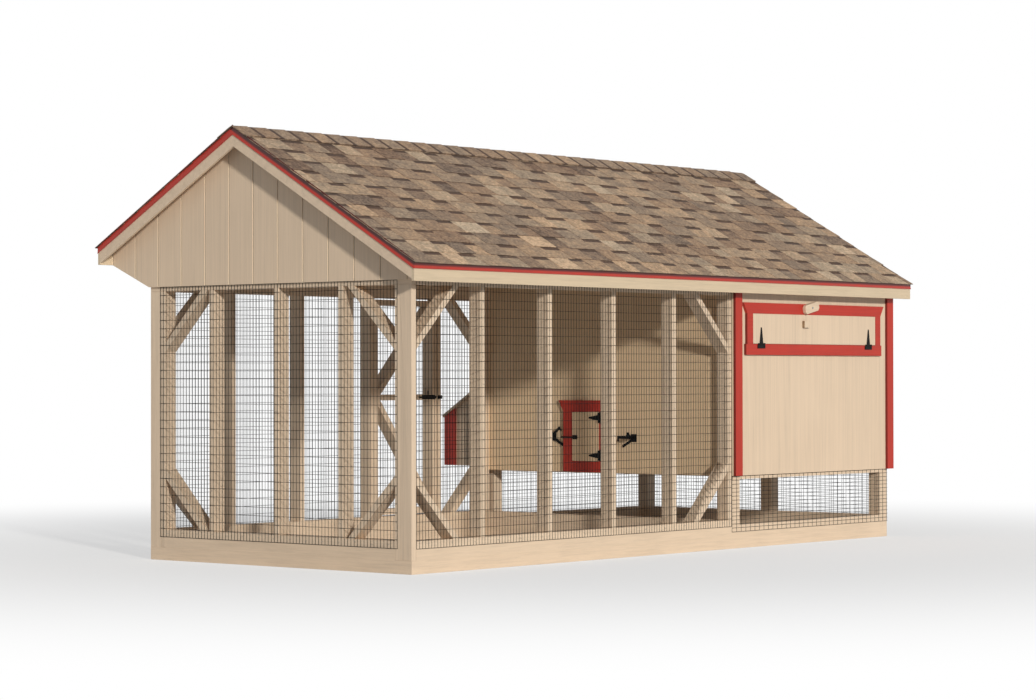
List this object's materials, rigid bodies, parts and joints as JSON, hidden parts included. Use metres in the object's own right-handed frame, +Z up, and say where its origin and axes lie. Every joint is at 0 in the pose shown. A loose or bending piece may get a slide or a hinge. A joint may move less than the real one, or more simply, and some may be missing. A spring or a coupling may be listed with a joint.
{
  "type": "chicken coop with run",
  "caption": "Wooden chicken coop with a raised house and a wire-mesh run under one shingled gable roof, with hinged doors, vent flap and nest box.",
  "frame": {"origin": "on the ground under the middle of the roof's outline", "axes": "+X along the length from the run gable to the house end, +Y from the near long side to the far side, +Z up"},
  "size_m": [5.127, 2.641, 2.5794],
  "materials": {
    "beige_paint": "satin paint on wood",
    "red_paint": "satin paint on wood",
    "bare_wood": "sawn, unpainted",
    "shingle": "mineral granules, matte",
    "red_metal": "satin",
    "black_wire": "matte coating",
    "black_hardware": "matte",
    "screw_steel": "plain"
  },
  "bodies": {
    "coop": {"skids": "beige_paint", "sills": "beige_paint", "posts": "beige_paint", "run_studs": "beige_paint", "knee_braces": "beige_paint", "top_beams": "beige_paint", "far_upper_wall": "beige_paint", "floor_joists": "beige_paint", "fascia_boards": "beige_paint", "barge_boards": "beige_paint", "far_soffit": "beige_paint", "run_gable_siding": "beige_paint", "near_siding": "beige_paint", "far_siding": "beige_paint", "end_siding": "beige_paint", "partition_siding": "beige_paint", "nest_box": "beige_paint", "corner_trims": "red_paint", "vent_trim": "red_paint", "pop_trim": "red_paint", "clean_trim": "red_paint", "nest_trim": "red_paint", "rafters": "bare_wood", "ridge_board": "bare_wood", "roof_deck": "bare_wood", "house_floor": "bare_wood", "house_studs": "bare_wood", "roost_bars": "bare_wood", "near_shingles": "shingle", "far_shingles": "shingle", "ridge_cap": "shingle", "drip_edges": "red_metal", "near_mesh": "black_wire", "gable_mesh": "black_wire", "far_mesh": "black_wire", "skirt_mesh": "black_wire", "vent_screen": "black_wire", "hinge_butts": "black_hardware", "hinge_pins": "black_hardware", "latch_plates": "black_hardware", "pivot_screws": "screw_steel"},
    "vent_flap": {"vent_flap": "beige_paint", "vent_straps": "black_hardware"},
    "vent_button": {"vent_button": "beige_paint"},
    "pop_door": {"pop_leaf": "beige_paint", "pop_straps": "black_hardware", "pop_striker": "black_hardware"},
    "latch_arm_closed": {"latch_arm_closed": "black_hardware"},
    "latch_arm_held": {"latch_arm_held": "black_hardware"},
    "run_door": {"run_door_frame": "beige_paint", "run_door_mesh": "black_wire", "run_door_straps": "black_hardware", "bolt_guide": "black_hardware"},
    "slide_bolt": {"slide_bolt": "black_hardware"},
    "nest_lid": {"nest_lid": "beige_paint", "nest_straps": "black_hardware"},
    "clean_door": {"clean_door": "beige_paint", "clean_straps": "black_hardware"},
    "clean_button": {"clean_button": "beige_paint"}
  },
  "joints": [
    {"name": "vent_flap_hinge", "type": "hinge", "parent": "coop", "child": "vent_flap", "pos_m": [1.524, -1.2205, 1.314], "axis": [1, 0, 0], "range_deg": [0, 165]},
    {"name": "vent_button_pivot", "type": "hinge", "parent": "coop", "child": "vent_button", "pos_m": [1.446, -1.2155, 1.556], "axis": [0, -1, 0], "range_deg": [0, 70]},
    {"name": "pop_door_hinge", "type": "hinge", "parent": "coop", "child": "pop_door", "pos_m": [0.5855, -0.1125, 0.703], "axis": [0, 0, 1], "range_deg": [0, 165]},
    {"name": "latch_closed_pivot", "type": "hinge", "parent": "coop", "child": "latch_arm_closed", "pos_m": [0.5705, 0.2785, 0.702], "axis": [1, 0, 0], "range_deg": [0, 40]},
    {"name": "latch_held_pivot", "type": "hinge", "parent": "coop", "child": "latch_arm_held", "pos_m": [0.5705, -0.3785, 0.702], "axis": [1, 0, 0], "range_deg": [0, 40]},
    {"name": "run_door_hinge", "type": "hinge", "parent": "coop", "child": "run_door", "pos_m": [-0.5505, 0.9605, 0.903], "axis": [0, 0, 1], "range_deg": [0, 110]},
    {"name": "slide_bolt_slide", "type": "slide", "parent": "run_door", "child": "slide_bolt", "axis": [1, 0, 0], "range_m": [0, 0.048]},
    {"name": "nest_lid_hinge", "type": "hinge", "parent": "coop", "child": "nest_lid", "pos_m": [1.27317, 0.9745, 1.06074], "axis": [1, 0, 0], "range_deg": [0, 100]},
    {"name": "clean_door_hinge", "type": "hinge", "parent": "coop", "child": "clean_door", "pos_m": [2.4785, 0.2355, 0.938], "axis": [0, 0, 1], "range_deg": [0, 120]},
    {"name": "clean_button_pivot", "type": "hinge", "parent": "coop", "child": "clean_button", "pos_m": [2.4735, -0.5015, 0.938], "axis": [1, 0, 0], "range_deg": [0, 90]}
  ]
}
